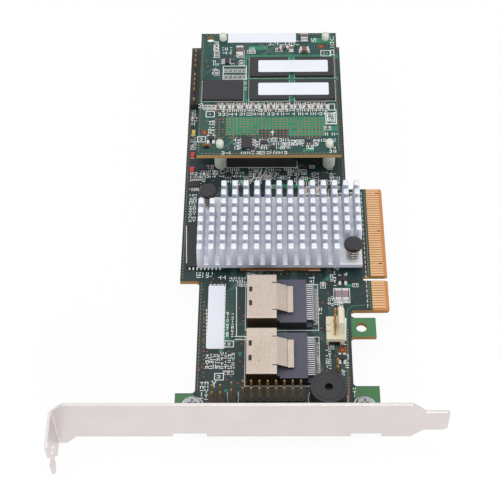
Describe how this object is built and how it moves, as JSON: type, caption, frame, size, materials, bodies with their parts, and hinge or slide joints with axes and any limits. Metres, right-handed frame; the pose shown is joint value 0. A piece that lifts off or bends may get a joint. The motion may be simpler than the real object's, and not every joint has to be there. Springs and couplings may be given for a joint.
{
  "type": "raid controller card",
  "caption": "Low board with a folded slot bracket, an edge connector tongue, a pin-fin heatsink, a raised cache board and two internal cable sockets.",
  "frame": {"origin": "on the bracket's outer face, in line with the edge connector's tip and level with the main board's top", "axes": "+X from the board towards the edge connector, +Y from the bracket along the card to its far end, +Z to the component side"},
  "size_m": [0.12, 0.1801, 0.0222],
  "materials": {
    "board_mask": "satin solder mask over glass-fibre board",
    "cache_mask": "satin solder mask over glass-fibre board",
    "bracket_steel": "bright nickel plate",
    "screw_steel": "zinc plate",
    "contact_gold": "gold plate",
    "heatsink_aluminium": "clear anodised, satin",
    "chip_black": "moulded, matt",
    "black_plastic": "moulded, matt",
    "nylon": "natural nylon",
    "ivory_plastic": "moulded, satin",
    "cage_nickel": "nickel silver sheet, satin",
    "housing_plastic": "moulded, satin",
    "lead_tin": "tinned",
    "spring_steel": "bright wire",
    "label_paper": "plain white",
    "ceramic_brown": "ceramic with tinned caps",
    "ceramic_tan": "ceramic with tinned caps",
    "package_laminate": "laminate with black cap",
    "pad_grey": "thermal pad",
    "lamp_lens": "clear lens"
  },
  "bodies": {
    "root": {"main_board": "board_mask", "edge_contacts": "contact_gold", "slot_bracket": "bracket_steel", "bracket_screws": "screw_steel", "cache_board": "cache_mask", "board_standoffs": "nylon", "stacking_socket": "black_plastic", "stacking_plug": "black_plastic", "memory_chips": "chip_black", "cache_control_chip": "chip_black", "cache_small_chips": "chip_black", "board_small_chips": "chip_black", "resistor_packs": "ceramic_brown", "cache_capacitors": "ceramic_brown", "board_capacitors": "ceramic_tan", "indicator_lamps": "lamp_lens", "cache_labels": "label_paper", "board_label": "label_paper", "heatsink": "heatsink_aluminium", "processor_package": "package_laminate", "thermal_pad": "pad_grey", "push_pins": "black_plastic", "push_pin_springs": "spring_steel", "near_sas_cage": "cage_nickel", "far_sas_cage": "cage_nickel", "near_sas_housing": "housing_plastic", "far_sas_housing": "housing_plastic", "near_sas_contacts": "lead_tin", "far_sas_contacts": "lead_tin", "cache_chip_leads": "lead_tin", "board_chip_leads": "lead_tin", "flash_chip_leads": "lead_tin", "locking_header_body": "ivory_plastic", "locking_header_pins": "contact_gold", "pin_header_bodies": "black_plastic", "pin_header_pins": "contact_gold", "edge_header_body": "black_plastic", "edge_header_pins": "contact_gold", "buzzer": "black_plastic", "buzzer_pins": "lead_tin", "flash_chip": "chip_black"}
  },
  "joints": []
}
